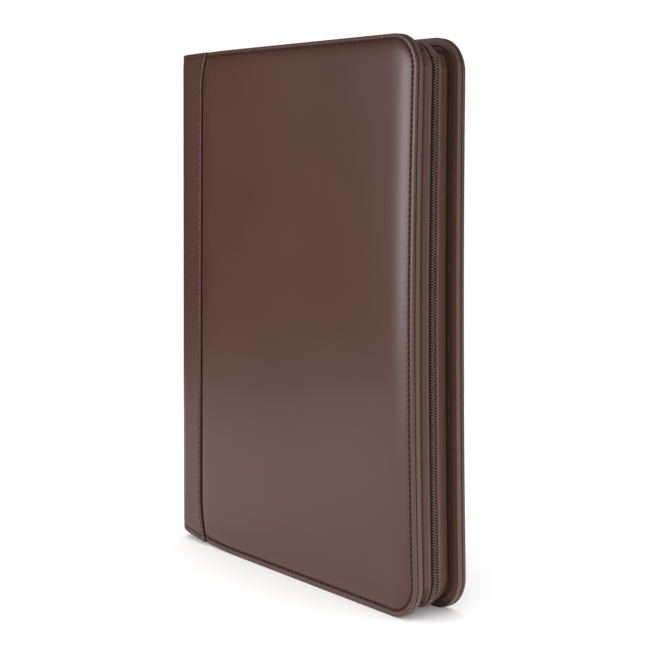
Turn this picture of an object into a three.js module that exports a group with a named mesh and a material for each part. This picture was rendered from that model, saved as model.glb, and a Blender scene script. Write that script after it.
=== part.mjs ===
// A closed zip portfolio of smooth brown leather, standing upright on its bottom edge.
// Millimetres, +Z up. X runs from the spine at -X to the fore edge at +X, and the front cover
// faces -Y. The origin is the middle of the footprint.

import * as THREE from 'three';

// Overall form
const height = 343;
const width = 267.4;
const marginDepth = 38;

// Cover plies
const coverPly = 2.2;
const liningPly = 1.4;
const cornerRadius = 22;
const edgeRound = 0.45;
const clearance = 0.3;

// Stitched margin and pad
const margin = 3;
const footSeamRise = 1.2;
const footSeamReach = 60;
const grooveDepth = 0.4;
const grooveWidth = 1.6;
const padRise = 1.7;
const padRoll = 18;
const lapPadRoll = 15;
const hemWidth = 5;
const hemRise = 2;

// Spine strip
const stripPly = 1.4;
const stripReach = 34.5;
const lapWidth = 9;
const spineRadius = 15.5;
const flareReach = 6.5;
const flareTop = 30;
const flareBottom = 36;
const spineSkive = 0.5;
const spineRoll = 6;

// Gusset and zip
const gussetPly = 1.2;
const recessDepth = 15;
const seamAllowance = 7;
const foldInset = 7.2;
const foldDepth = 10.6;
const lipInset = 5.6;
const lipGap = 6.6;
const pleatDepth = 2;
const tapePly = 0.8;
const tapeParting = 0.8;
const coilWidth = 3.8;
const coilThickness = 2.2;
const coilStop = 14;

// Slider and pull, one plain piece
const sliderLength = 9;
const sliderPlate = 1.2;
const pullLength = 24;
const pullThickness = 0.9;
const pullLift = 0.5;
const sliderWidth = 6;

// How far the fore edge bows towards the front at mid height, how far the zip lies behind the
// middle there, and how far the back cover's foot stands out and its head has settled
const frontBow = 3.4;
const zipBow = 2.6;
const zipLean = 0.4;
const backBow = 1.6;
const backSplay = 1;
const backSettle = 1.4;
const bowStart = 12;

// How far the corners at the spine are drawn in, most at the spine's foot
const heelRise = 8;
const headFall = 1.3;
const heelReach = 78;
const heelHeight = 36;
const footTuck = 4.4;

// Shapes of small things, as shares of the sizes that they follow
const turnedEdge = { from: 0.3, to: 0.7 };
const stripNose = 0.3;
const skiveAtSeam = 0.8;
const lipDome = 1.6;
const sliderNeck = { from: 0.4, to: 0.6 };

// Places worked out from the sizes
const foreEdge = width / 2;
const spineFace = -width / 2;
const coverFace = marginDepth / 2;
const coverBack = coverFace - coverPly;
const liningFace = coverBack - clearance;
const liningBack = liningFace - liningPly;
const hemFace = liningBack - hemRise;
const stripBack = coverFace + clearance;
const stripFace = stripBack + stripPly;
const stripEdge = spineFace + stripReach;
const lapEdge = stripEdge - lapWidth;
const bendStart = spineFace + spineRadius;
const grooveHalf = grooveWidth / 2;
const grooveFloor = grooveHalf / 3;
const tapeStep = gussetPly / 2 + clearance + tapePly / 2;
const pleatRoot = foldInset + tapeStep + tapePly;

// Facets
const cornerSteps = 6;
const pleatSteps = 12;
const bendSteps = 8;
const coilSides = 8;

// Shares of the straight stretch of a cover's side, closer together where the strip flares
const sideRows = [0.05, 0.2, 0.35, 0.5, 0.65, 0.8, 0.95, 1];

// Shares of the spine's height between its two flared ends
const spineRows = [0.2, 0.4, 0.6, 0.8];

// Shares of the way from the spine to the fore corner, closer together near the drawn-in heel
const coverColumns = [0.15, 0.28, 0.62, 1];
const zipColumns = [0, 0.07, 0.14, 0.22, 0.31, 0.6];

// The soft shoulder of the pad: share of its width and share of its rise
const padShoulder = [
  { along: 0, rise: 0.03 },
  { along: 0.08, rise: 0.28 },
  { along: 0.22, rise: 0.56 },
  { along: 0.42, rise: 0.8 },
  { along: 0.68, rise: 0.95 },
  { along: 1, rise: 1 },
];

// The gusset's wall in the recess: share of the rise from its root to the fold, and share of the
// way across to it
const recessWall = [
  { rise: 0.3, across: 0.2 },
  { rise: 0.85, across: 0.75 },
];

// Shares of the visible leather's width from the fold to the lip
const lipColumns = [0, 0.3, 0.62, 1];

// Pleats in the gusset at a corner: share of the quarter turn and share of the pleat depth
const cornerPleats = [
  { turn: 0.2, depth: 1 },
  { turn: 0.5, depth: 0.6 },
  { turn: 0.8, depth: 0.85 },
];
const pleatHalfTurn = 0.11;

const leatherBrown = 0x5e4740;
const leather = () => new THREE.MeshStandardMaterial({ color: leatherBrown, roughness: 0.42, metalness: 0 });
const liningCloth = () => new THREE.MeshStandardMaterial({ color: 0x4a3932, roughness: 0.7, metalness: 0 });
const zipCloth = () => new THREE.MeshStandardMaterial({ color: 0x3b2a25, roughness: 0.85, metalness: 0 });
const zipNylon = () => new THREE.MeshStandardMaterial({ color: 0x5d4a41, roughness: 0.5, metalness: 0 });
const zipMetal = () => new THREE.MeshStandardMaterial({ color: 0x6d5c50, roughness: 0.35, metalness: 0.9 });

const portfolio = new THREE.Group();

const mix = (a, b, share) => a + (b - a) * share;

function smooth(value) {
  const share = Math.min(1, Math.max(0, value));
  return share * share * (3 - 2 * share);
}

// The fore edge bows towards the front at mid height, the front cover most and the back cover least.
// The zip lies a little behind the middle, and the back cover's foot stands out a little.
function bowed(x, y, z) {
  const reach = smooth((x - bowStart) / (foreEdge - bowStart));
  const sideBow = y < 0 ? frontBow : backBow;
  const fromZip = Math.abs(y) / coverFace;
  const bow = mix(zipBow, sideBow, fromZip) * Math.sin(Math.PI * z / height);
  const lean = zipLean * Math.max(0, 1 - fromZip);
  const splay = backSplay * Math.max(0, y) / coverFace * (1 - z / height);
  return y + reach * (lean + splay - bow);
}

// The spine leans in towards its foot.
function tucked(x, z) {
  const nearSpine = Math.max(0, 1 - (x - spineFace) / stripReach) ** 2;
  return x + footTuck * nearSpine * (1 - z / height);
}

// The corners at the spine are drawn in: the foot rises and the head falls, most at the spine itself.
// The back cover's head has settled a little.
function drawnIn(x, y, z) {
  const nearSpine = Math.max(0, 1 - (x - spineFace) / heelReach) ** 2;
  const nearEnd = (distance) => Math.max(0, 1 - Math.max(0, distance - margin) / heelHeight) ** 2;
  const settled = backSettle * Math.max(0, y) / coverFace * z / height;
  return z - settled + nearSpine * (heelRise * nearEnd(z) - headFall * nearEnd(height - z));
}

// The strip's edge swings out over the cover near the top and bottom.
function stripFlare(z) {
  const fromTop = Math.max(0, 1 - (height - z) / flareTop);
  const fromBottom = Math.max(0, 1 - z / flareBottom);
  return flareReach * (fromTop * fromTop + fromBottom * fromBottom);
}

// Closed bodies are gathered as points and triangles.
class Body {
  constructor() {
    this.points = [];
    this.faces = [];
  }

  point(x, y, z) {
    this.points.push(tucked(x, z), bowed(x, y, z), drawnIn(x, y, z));
    return this.points.length / 3 - 1;
  }

  ring(places) {
    return places.map((place) => this.point(...place));
  }

  quad(a, b, c, d) {
    this.faces.push(a, b, c, a, c, d);
  }

  // Joins two rings of the same count, which close on themselves.
  bridge(first, second) {
    first.forEach((corner, i) => {
      const next = (i + 1) % first.length;
      this.quad(corner, first[next], second[next], second[i]);
    });
  }

  // Closes a ring with the triangles of its flat outline, turned as the ring turns or against it.
  cap(ring, outline, against) {
    const ringTurn = Math.sign(THREE.ShapeUtils.area(outline));
    for (const [a, b, c] of THREE.ShapeUtils.triangulateShape(outline, [])) {
      const turn = Math.sign(THREE.ShapeUtils.area([outline[a], outline[b], outline[c]]));
      const flip = (turn === ringTurn) === against;
      this.faces.push(ring[a], ring[flip ? c : b], ring[flip ? b : c]);
    }
  }

  volume() {
    const corner = (i) => new THREE.Vector3().fromArray(this.points, 3 * i);
    let total = 0;
    for (let i = 0; i < this.faces.length; i += 3) {
      const [a, b, c] = this.faces.slice(i, i + 3).map(corner);
      total += a.dot(b.cross(c));
    }
    return total;
  }

  addTo(group, name, material) {
    const faces = this.volume() > 0 ? this.faces : this.faces.toReversed();
    const geometry = new THREE.BufferGeometry();
    geometry.setAttribute('position', new THREE.Float32BufferAttribute(this.points, 3));
    geometry.setIndex(faces);
    geometry.computeVertexNormals();
    const mesh = new THREE.Mesh(geometry, material);
    mesh.name = name;
    group.add(mesh);
    return mesh;
  }
}

// A cover's outline, inset evenly, with round corners at the fore edge and square ones at the lap.
// It runs along the bottom, up the fore edge, back along the top and down the lap side.
function coverOutline(lapSide, inset) {
  const radius = Math.max(cornerRadius - inset, cornerRadius / cornerSteps);
  const centreX = foreEdge - inset - radius;
  const lowCentre = inset + radius;
  const highCentre = height - inset - radius;
  const turn = (step) => step / cornerSteps * Math.PI / 2;
  const corner = (step) => [centreX + radius * Math.sin(turn(step)), radius * Math.cos(turn(step))];
  const bottom = [0, ...coverColumns].map((share) => [mix(lapSide, centreX, share), inset]);
  for (let step = 1; step <= cornerSteps / 2; step++) {
    const [x, drop] = corner(step);
    bottom.push([x, lowCentre - drop]);
  }
  const side = [];
  for (let step = cornerSteps / 2 + 1; step <= cornerSteps; step++) {
    const [x, drop] = corner(step);
    side.push([x, lowCentre - drop]);
  }
  for (const share of sideRows) {
    side.push([foreEdge - inset, mix(lowCentre, highCentre, share)]);
  }
  for (let step = cornerSteps - 1; step > cornerSteps / 2; step--) {
    const [x, rise] = corner(step);
    side.push([x, highCentre + rise]);
  }
  const top = bottom.map(([x, z]) => [x, height - z]).reverse();
  const lap = side.map(([, z]) => [lapSide, z]).reverse();
  return { places: [...bottom, ...side, ...top, ...lap], bottom, side };
}

// The seam of a cover and of the spine lies a little higher at the foot than it lies in elsewhere.
function seamRaised(inset, z) {
  const beyondMargin = Math.min(1, inset / (margin - grooveHalf));
  return z + footSeamRise * beyondMargin * Math.max(0, 1 - z / footSeamReach) ** 2;
}

// Moves what lies beside the strip's edge along with its flare.
function flared(x, z) {
  const fade = 1 - smooth((x - stripEdge) / (2 * lapPadRoll));
  return x + stripFlare(z) * fade;
}

// A flat field of quads inside a cover ring, with its own inner points.
function fieldCap(body, ring, outline, depth, reversed) {
  const columns = outline.bottom.length - 1;
  const rows = outline.side.length + 1;
  const turnUp = columns + rows;
  const at = (column, row) => {
    if (row === 0) return ring[column];
    if (column === columns) return ring[columns + row];
    if (row === rows) return ring[turnUp + columns - column];
    if (column === 0) return ring[(2 * columns + 2 * rows - row) % ring.length];
    return null;
  };
  const grid = [];
  for (let column = 0; column <= columns; column++) {
    grid.push([]);
    for (let row = 0; row <= rows; row++) {
      const edge = at(column, row);
      if (edge !== null) {
        grid[column].push(edge);
        continue;
      }
      const x = outline.bottom[column][0];
      const z = outline.side[row - 1][1];
      grid[column].push(body.point(flared(x, z), depth, seamRaised(margin, z)));
    }
  }
  for (let column = 0; column < columns; column++) {
    for (let row = 0; row < rows; row++) {
      const [here, beside] = [grid[column], grid[column + 1]];
      const square = [here[row], beside[row], beside[row + 1], here[row + 1]];
      body.quad(...(reversed ? square.toReversed() : square));
    }
  }
}

// A cover ply is a stack of outlines: each row gives the inset at the free edges, the inset at the
// lap side and the depth from the middle of the portfolio, at the free edges and at the lap side.
function plyBody(side, lapSide, rows) {
  const body = new Body();
  const stack = rows.map((row) => {
    const outline = coverOutline(lapSide + row.lap, row.inset);
    const ring = body.ring(outline.places.map(([x, z]) => {
      const depth = x > lapSide + row.lap ? row.depth : row.lapDepth;
      return [flared(x, z), side * depth, seamRaised(row.inset, z)];
    }));
    return { outline, ring, depth: side * row.depth };
  });
  for (let i = 1; i < stack.length; i++) {
    body.bridge(stack[i - 1].ring, stack[i].ring);
  }
  const first = stack[0];
  const last = stack[stack.length - 1];
  fieldCap(body, first.ring, first.outline, first.depth, true);
  fieldCap(body, last.ring, last.outline, last.depth, false);
  return body;
}

// The outer ply: turned edge, flat margin, stitch groove and padded field.
function coverRows() {
  const atLap = lapWidth - edgeRound;
  const padStart = margin + grooveHalf;
  const cornerCut = edgeRound * turnedEdge.from;
  const rows = [
    { inset: edgeRound, lap: edgeRound, depth: coverBack },
    { inset: 0, lap: 0, depth: coverBack + edgeRound * turnedEdge.to },
    { inset: 0, lap: 0, depth: coverFace - edgeRound },
    { inset: cornerCut, lap: cornerCut, depth: coverFace - cornerCut },
    { inset: edgeRound, lap: edgeRound, depth: coverFace },
    { inset: margin - grooveHalf, lap: atLap - grooveHalf, depth: coverFace },
    { inset: margin - grooveFloor, lap: atLap - grooveFloor, depth: coverFace - grooveDepth },
    { inset: margin + grooveFloor, lap: atLap, depth: coverFace - grooveDepth },
  ];
  for (const step of padShoulder) {
    rows.push({
      inset: padStart + padRoll * step.along,
      lap: lapWidth + lapPadRoll * step.along,
      depth: coverFace + padRise * step.rise,
    });
  }
  return rows.map((row) => ({ ...row, lapDepth: row.depth }));
}

// The inner ply, with a thick hem round its free edges, which shows inside the recess. It has none
// along the spine.
function liningRows() {
  const rows = [
    { inset: edgeRound, depth: liningFace },
    { inset: 0, depth: liningFace - edgeRound * turnedEdge.to },
    { inset: 0, depth: hemFace + edgeRound },
    { inset: edgeRound, depth: hemFace },
    { inset: hemWidth - edgeRound, depth: hemFace },
    { inset: hemWidth, depth: liningBack },
  ];
  return rows.map((row) => ({ ...row, lap: row.inset, lapDepth: Math.max(row.depth, liningBack) }));
}

for (const [face, side] of [['front', -1], ['back', 1]]) {
  plyBody(side, lapEdge, coverRows()).addTo(portfolio, `${face}_cover`, leather());
  plyBody(side, bendStart, liningRows()).addTo(portfolio, `${face}_lining`, liningCloth());
}

// One half of the spine's plan section, from its free edge to the middle of the spine. Each place
// has its distance from the middle plane.
function spineHalf(edge, face, radius) {
  const half = [{ x: edge, depth: face }, { x: (edge + bendStart) / 2, depth: face }];
  for (let step = 0; step <= bendSteps / 2; step++) {
    const angle = step / bendSteps * Math.PI;
    half.push({ x: bendStart - radius * Math.sin(angle), depth: face - radius + radius * Math.cos(angle) });
  }
  return half;
}

// The closed plan section of the spine at one height, its outer face sunk a little at the hems.
function spineSection(z, sink) {
  const edge = stripEdge + stripFlare(z);
  const round = stripPly * stripNose;
  const face = stripFace - sink;
  const outer = spineHalf(edge - round, face, spineRadius - sink);
  const inner = spineHalf(edge - round, stripBack, spineRadius - stripPly);
  const nose = [1 - stripNose, stripNose].map((share) => ({ x: edge, depth: mix(face, stripBack, share) }));
  const half = [...inner.toReversed(), ...nose, ...outer];
  const front = half.map(({ x, depth }) => new THREE.Vector2(x, -depth));
  const back = half.toReversed().map(({ x, depth }) => new THREE.Vector2(x, depth));
  return [...front, ...back];
}

// Heights of the spine's rows above one end, with how far its outer face is sunk there.
function spineHem(flareLength) {
  return [
    { up: 0, sink: spineSkive + edgeRound },
    { up: edgeRound, sink: spineSkive },
    { up: margin - grooveHalf, sink: spineSkive },
    { up: margin - grooveFloor, sink: spineSkive + grooveDepth },
    { up: margin + grooveFloor, sink: spineSkive + grooveDepth },
    { up: margin + grooveHalf, sink: spineSkive * skiveAtSeam },
    { up: margin + spineRoll, sink: 0 },
    { up: (margin + spineRoll + flareLength) / 2, sink: 0 },
    { up: flareLength, sink: 0 },
  ];
}

function spineBody() {
  const body = new Body();
  const low = spineHem(flareBottom).map((row) => ({ z: seamRaised(row.up, row.up), sink: row.sink }));
  const high = spineHem(flareTop).map((row) => ({ z: height - row.up, sink: row.sink })).reverse();
  const middle = spineRows.map((share) => ({ z: mix(flareBottom, height - flareTop, share), sink: 0 }));
  const rings = [...low, ...middle, ...high].map(({ z, sink }) => {
    const plan = spineSection(z, sink);
    return { ring: body.ring(plan.map(({ x, y }) => [x, y, z])), plan };
  });
  for (let i = 1; i < rings.length; i++) {
    body.bridge(rings[i - 1].ring, rings[i].ring);
  }
  const last = rings[rings.length - 1];
  body.cap(rings[0].ring, rings[0].plan, true);
  body.cap(last.ring, last.plan, false);
  return body;
}

spineBody().addTo(portfolio, 'spine', leather());

// How far the inside of the spine reaches at a given distance from the middle plane, measured to
// the middles of its flat facets.
function spineInside(depth) {
  const radius = (spineRadius - stripPly) * Math.cos(Math.PI / bendSteps / 2);
  const beyondFlat = Math.max(0, depth - (stripBack - radius));
  return bendStart - Math.sqrt(Math.max(0, radius * radius - beyondFlat * beyondFlat));
}

// The way round the portfolio for a line at a given inset: along the top from the spine, down the
// fore edge and back along the bottom. Each place knows how far it has turned round a corner.
function zipPath(inset, depth, startGap) {
  const radius = Math.max(cornerRadius - inset, cornerRadius / cornerSteps);
  const start = spineInside(Math.abs(depth)) + startGap;
  const centreX = foreEdge - inset - radius;
  const highCentre = height - inset - radius;
  const lowCentre = inset + radius;
  const path = zipColumns.map((share) => ({ x: mix(start, centreX, share), z: height - inset, turn: -1 }));
  for (let step = 0; step <= pleatSteps; step++) {
    const angle = step / pleatSteps * Math.PI / 2;
    const x = centreX + radius * Math.sin(angle);
    path.push({ x, z: highCentre + radius * Math.cos(angle), turn: step / pleatSteps });
  }
  for (const share of sideRows.slice(0, -1)) {
    path.push({ x: foreEdge - inset, z: mix(highCentre, lowCentre, share), turn: -1 });
  }
  const lower = path.slice(0, zipColumns.length + pleatSteps + 1);
  return [...path, ...lower.map((place) => ({ ...place, z: height - place.z })).reverse()];
}

// How deep the gusset is folded in at this point of a corner.
function pleatAt(turn) {
  if (turn < 0) return 0;
  return cornerPleats.reduce((depth, pleat) => {
    const nearness = Math.max(0, 1 - Math.abs(turn - pleat.turn) / pleatHalfTurn);
    return Math.max(depth, pleat.depth * pleatDepth * nearness);
  }, 0);
}

// A wall of even thickness along a line of {inset, depth} places, as a closed outline.
function wallOutline(line, thickness) {
  const side = (sign) => line.map((place, i) => {
    const before = line[Math.max(0, i - 1)];
    const after = line[Math.min(line.length - 1, i + 1)];
    const along = new THREE.Vector2(after.inset - before.inset, after.depth - before.depth).normalize();
    const offset = sign * thickness / 2;
    return { inset: place.inset - along.y * offset, depth: place.depth + along.x * offset };
  });
  return [...side(1), ...side(-1).reverse()];
}

// Sweeps a closed outline round the portfolio. Pleats take in what lies beyond the lips.
function sweptBody(side, outline, startGap) {
  const body = new Body();
  const paths = outline.map(({ inset, depth }) => zipPath(inset, depth, startGap));
  const rings = paths[0].map((station, i) => body.ring(outline.map(({ inset, depth }, k) => {
    const beyondLip = smooth((Math.abs(depth) - lipGap / 2) / (foldDepth - lipGap / 2));
    const nearFold = 1 - smooth((inset - pleatRoot) / (recessDepth - pleatRoot));
    const pleated = inset + pleatAt(station.turn) * beyondLip * nearFold;
    const place = pleated === inset ? paths[k][i] : zipPath(pleated, depth, startGap)[i];
    return [place.x, side * depth, place.z];
  })));
  for (let i = 1; i < rings.length; i++) {
    body.bridge(rings[i - 1], rings[i]);
  }
  const flat = outline.map(({ inset, depth }) => new THREE.Vector2(inset, depth));
  body.cap(rings[0], flat, true);
  body.cap(rings[rings.length - 1], flat, false);
  return body;
}

// The leather beside the zip runs from the fold to the lip, a little domed.
const rootDepth = liningBack - clearance - gussetPly / 2;
const lipDepth = lipGap / 2;
const visibleLeather = lipColumns.map((share) => ({
  inset: mix(foldInset, lipInset, 1 - (1 - share) ** lipDome),
  depth: mix(foldDepth, lipDepth, share),
}));
const gussetLine = [
  { inset: recessDepth + seamAllowance, depth: rootDepth },
  { inset: recessDepth, depth: rootDepth },
  ...recessWall.map(({ rise, across }) => ({
    inset: mix(recessDepth, foldInset, rise),
    depth: mix(rootDepth, foldDepth, across),
  })),
  ...visibleLeather,
];

// The tape lies under the visible leather and runs on to the middle, under the coil.
const tapeLine = [
  ...visibleLeather.map(({ inset, depth }) => ({ inset: inset + tapeStep, depth: depth - clearance })),
  { inset: lipInset + tapeStep, depth: tapeParting / 2 },
];
const coilInset = lipInset + tapeStep - tapePly / 2 - clearance - coilThickness / 2;

for (const [face, side] of [['front', -1], ['back', 1]]) {
  const gusset = sweptBody(side, wallOutline(gussetLine, gussetPly), clearance);
  gusset.addTo(portfolio, `gusset_${face}`, leather());
  const tape = sweptBody(side, wallOutline(tapeLine, tapePly), clearance);
  tape.addTo(portfolio, `zip_tape_${face}`, zipCloth());
}

// The coil is an oval bead whose teeth are too fine to be solids.
const coilOutline = [];
for (let i = 0; i < coilSides; i++) {
  const angle = (i + 0.5) / coilSides * 2 * Math.PI;
  coilOutline.push({
    inset: coilInset + coilThickness / 2 * Math.sin(angle),
    depth: coilWidth / 2 * Math.cos(angle),
  });
}
sweptBody(1, coilOutline, coilStop).addTo(portfolio, 'zip_coil', zipNylon());

// Slider and pull lie along the coil at the spine end of the top run, below the covers' edges.
function sliderSolid() {
  const spineEnd = spineInside(0) + coilStop;
  const coilTop = height - coilInset + coilThickness / 2;
  const seat = drawnIn(spineEnd + sliderLength, 0, coilTop) + clearance;
  const plateTop = seat + sliderPlate;
  const pullUnder = plateTop + pullLift;
  const outline = new THREE.Shape();
  outline.moveTo(spineEnd, seat);
  outline.lineTo(spineEnd + sliderLength, seat);
  outline.lineTo(spineEnd + sliderLength, plateTop);
  outline.lineTo(spineEnd + sliderLength * sliderNeck.to, plateTop);
  outline.lineTo(spineEnd + sliderLength * sliderNeck.to, pullUnder);
  outline.lineTo(spineEnd + pullLength, pullUnder);
  outline.lineTo(spineEnd + pullLength, pullUnder + pullThickness);
  outline.lineTo(spineEnd + sliderLength * sliderNeck.from, pullUnder + pullThickness);
  outline.lineTo(spineEnd, plateTop);
  outline.closePath();
  const geometry = new THREE.ExtrudeGeometry(outline, { depth: sliderWidth, bevelEnabled: false });
  geometry.rotateX(Math.PI / 2);
  geometry.translate(0, sliderWidth / 2, 0);
  const mesh = new THREE.Mesh(geometry, zipMetal());
  mesh.name = 'zip_slider';
  return mesh;
}

portfolio.add(sliderSolid());

// The bow makes the front fuller than the back, so the footprint is centred at the end.
const extent = new THREE.Box3().setFromObject(portfolio);
portfolio.position.y = -(extent.min.y + extent.max.y) / 2;

export default portfolio;
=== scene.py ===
# %% [markdown]
# # A zip portfolio of smooth brown leather
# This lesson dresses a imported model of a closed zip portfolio, which stands upright on its bottom
# edges with the spine at the left. The model gives the size and the place of every piece. Here
# each piece is made again with finer shapes, seams, stitches and zip teeth, and gets its leather,
# cloth, nylon or metal.

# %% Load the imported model
import math

import bmesh
import bpy
import numpy as np
from mathutils import Matrix, Vector


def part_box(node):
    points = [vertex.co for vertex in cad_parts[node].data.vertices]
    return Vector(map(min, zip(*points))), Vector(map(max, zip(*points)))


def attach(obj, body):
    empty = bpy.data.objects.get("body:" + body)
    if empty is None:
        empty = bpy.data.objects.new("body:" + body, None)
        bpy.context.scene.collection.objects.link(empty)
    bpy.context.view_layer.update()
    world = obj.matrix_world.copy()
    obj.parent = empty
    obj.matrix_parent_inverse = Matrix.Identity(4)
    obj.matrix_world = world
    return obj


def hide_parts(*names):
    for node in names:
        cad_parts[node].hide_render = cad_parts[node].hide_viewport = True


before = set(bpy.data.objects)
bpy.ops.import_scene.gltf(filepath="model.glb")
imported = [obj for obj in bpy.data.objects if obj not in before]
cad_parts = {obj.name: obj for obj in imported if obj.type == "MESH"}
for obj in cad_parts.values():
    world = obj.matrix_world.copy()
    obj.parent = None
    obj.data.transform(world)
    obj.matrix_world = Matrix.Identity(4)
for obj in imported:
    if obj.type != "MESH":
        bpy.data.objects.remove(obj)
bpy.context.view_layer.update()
print("pieces of the packed model:", sorted(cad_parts))

# %% [markdown]
# ## The sizes of the portfolio
# All the sizes are in millimetres, as a leather worker would give them, and points are turned to
# metres only when a mesh is made. The pieces share these sizes, so a seam on one piece always
# meets the seam on the next.

# %% Sizes of the whole, the plies and the seams
MM = 0.001
HEIGHT, WIDTH = 343.0, 267.4
FORE_EDGE, SPINE_FACE = WIDTH / 2, -WIDTH / 2
COVER_FACE, COVER_BACK = 19.0, 16.8
LINING_FACE, LINING_BACK, HEM_FACE = 16.5, 15.1, 13.1
CORNER_RADIUS = 22.0
TIGHTEST_CORNER = CORNER_RADIUS / 6
CLEARANCE = 0.3
MARGIN, GROOVE_WIDTH, GROOVE_DEPTH = 3.0, 2.0, 0.4
FOOT_SEAM_RISE, FOOT_SEAM_REACH = 1.2, 60.0
PAD_RISE, PAD_ROLL, LAP_PAD_ROLL = 1.7, 18.0, 15.0
STITCH_PITCH = 3.45
STRIP_REACH, STRIP_PLY, LAP_WIDTH = 34.5, 1.4, 9.0
SPINE_RADIUS = 15.5
STRIP_BACK = COVER_FACE + CLEARANCE
STRIP_FACE = STRIP_BACK + STRIP_PLY
STRIP_EDGE = SPINE_FACE + STRIP_REACH
LAP_EDGE = STRIP_EDGE - LAP_WIDTH
BEND_START = SPINE_FACE + SPINE_RADIUS

packed_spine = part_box("spine")
MIDDLE = (packed_spine[0][1] + packed_spine[1][1]) / 2 / MM
print(f"middle plane of the portfolio at y = {MIDDLE:.2f} mm")

# %% [markdown]
# ## The slight bends of the whole
# A soft portfolio is never quite straight. Its fore edge bows towards the front at mid height, its
# zip lies a little behind the middle and sags at the foot, its back cover stands out at the foot
# and has settled at the head, and its corners at the spine are drawn in. Lattices or shape keys
# could do this, but then every piece would need its own. One function of the place alone keeps all
# the pieces together, because it moves neighbours alike.

# %% The bends, as one function of the place
FRONT_BOW, ZIP_BOW, BACK_BOW, BOW_START = 3.4, 2.6, 1.6, 12.0
ZIP_LEAN, BACK_SPLAY, BACK_SETTLE = 0.4, 1.0, 1.4
HEEL_RISE, HEAD_FALL, HEEL_REACH, HEEL_HEIGHT, FOOT_TUCK = 8.0, 1.3, 78.0, 36.0, 4.4
ZIP_SAG, SAG_HEIGHT, SAG_DEPTH = 2.2, 40.0, 13.0


def eased(value):
    share = np.clip(value, 0, 1)
    return share * share * (3 - 2 * share)


def blend(first, second, share):
    return first + (second - first) * share


def in_place(points):
    """Points of the straight portfolio in millimetres, taken to where they really lie, in metres."""
    x, y, z = np.moveaxis(np.asarray(points, dtype=float), -1, 0)
    up = z / HEIGHT
    fore = eased((x - BOW_START) / (FORE_EDGE - BOW_START))
    side_bow = np.where(y < 0, FRONT_BOW, BACK_BOW)
    from_zip, behind = np.abs(y) / COVER_FACE, np.clip(y, 0, None) / COVER_FACE
    bow = blend(ZIP_BOW, side_bow, from_zip) * np.sin(np.pi * up)
    lean = ZIP_LEAN * np.clip(1 - from_zip, 0, None)
    splay = BACK_SPLAY * behind * (1 - up)
    strip_side = np.clip(1 - (x - SPINE_FACE) / STRIP_REACH, 0, None) ** 2
    heel_side = np.clip(1 - (x - SPINE_FACE) / HEEL_REACH, 0, None) ** 2

    def near_end(distance):
        return np.clip(1 - np.clip(distance - MARGIN, 0, None) / HEEL_HEIGHT, 0, None) ** 2

    drawn = heel_side * (HEEL_RISE * near_end(z) - HEAD_FALL * near_end(HEIGHT - z))
    new_x = x + FOOT_TUCK * strip_side * (1 - up)
    new_y = y + fore * (lean + splay - bow) + MIDDLE
    sag = ZIP_SAG * fore * eased(2 - 2 * np.abs(y) / SAG_DEPTH) * np.clip(1 - z / SAG_HEIGHT, 0, None)
    return np.stack([new_x, new_y, z + drawn - sag - BACK_SETTLE * behind * up], axis=-1) * MM


print("mid fore edge of the front cover:", in_place([FORE_EDGE, -COVER_FACE, HEIGHT / 2]).round(4))

# %% [markdown]
# ## From rings of points to a closed mesh
# Nearly every piece here is a stack of rings: outlines of a cover, one inside the other, or
# sections of a strip, one after the other. Bridging ring to ring gives clean quads that follow the
# seams, which a Boolean or a remesh would not. Two extra numbers are kept at each point: a painted
# shade, darkest in seams, gaps and pleats and along the foot, and wear with a painted sheen on
# edges and margins. The leather reads both.

# %% A mesh from rings
EDGE_ANGLE = math.radians(38)


def ring_faces(rings, points, closed=True):
    """Quads between rings that follow each other. Each ring has the same number of points."""
    index = np.arange(rings * points).reshape(rings, points)
    here = index if closed else index[:, :-1]
    beside = np.roll(index, -1, axis=1) if closed else index[:, 1:]
    quads = np.stack([here[:-1], beside[:-1], beside[1:], here[1:]], axis=-1)
    return quads.reshape(-1, 4).tolist()


def end_faces(rings, points):
    """One flat face on the first ring and one on the last."""
    last = (rings - 1) * points
    return [list(range(points)), list(range(last, last + points))[::-1]]


def faces_at_edges(mesh):
    """How many faces use each edge, to see whether the mesh is closed."""
    use = np.zeros(len(mesh.edges), dtype=int)
    edge_of_loop = np.zeros(len(mesh.loops), dtype=int)
    mesh.loops.foreach_get("edge_index", edge_of_loop)
    np.add.at(use, edge_of_loop, 1)
    return use


def triangle_count(mesh):
    return sum(len(face.vertices) - 2 for face in mesh.polygons)


def put_in_scene(name, data):
    made = bpy.data.objects.new(name, data)
    bpy.context.scene.collection.objects.link(made)
    return made


def shade(mesh):
    """Smooth, but for edges that turn by more than the edge angle."""
    mesh.shade_smooth()
    mesh.set_sharp_from_angle(angle=EDGE_ANGLE)


def make_mesh(name, places, faces, painted_shade, wear_and_sheen, material):
    """A mesh object from places in metres, with its normals outward and its two extra numbers."""
    mesh = bpy.data.meshes.new(name)
    mesh.from_pydata(places.reshape(-1, 3).tolist(), [], faces)
    # one number of painted shade and one of wear with painted sheen at each point
    for title, values in (("painted_shade", painted_shade), ("wear_and_sheen", wear_and_sheen)):
        layer = mesh.attributes.new(title, "FLOAT", "POINT")
        layer.data.foreach_set("value", np.asarray(values, dtype=np.float32).ravel())
    work = bmesh.new()
    work.from_mesh(mesh)
    bmesh.ops.recalc_face_normals(work, faces=work.faces)
    work.to_mesh(mesh)
    work.free()
    shade(mesh)
    mesh.materials.append(material)
    print(f"{name}: {triangle_count(mesh)} triangles, {sum(faces_at_edges(mesh) != 2)} open edges")
    return put_in_scene(name, mesh)


# %% [markdown]
# ## Writing nodes as formulas
# Materials and Geometry Nodes both need small sums. Wrapping a socket in a class that knows + and *
# lets the script write them as formulas. One method makes every other node, and one feeds its
# inputs with values or links.

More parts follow.
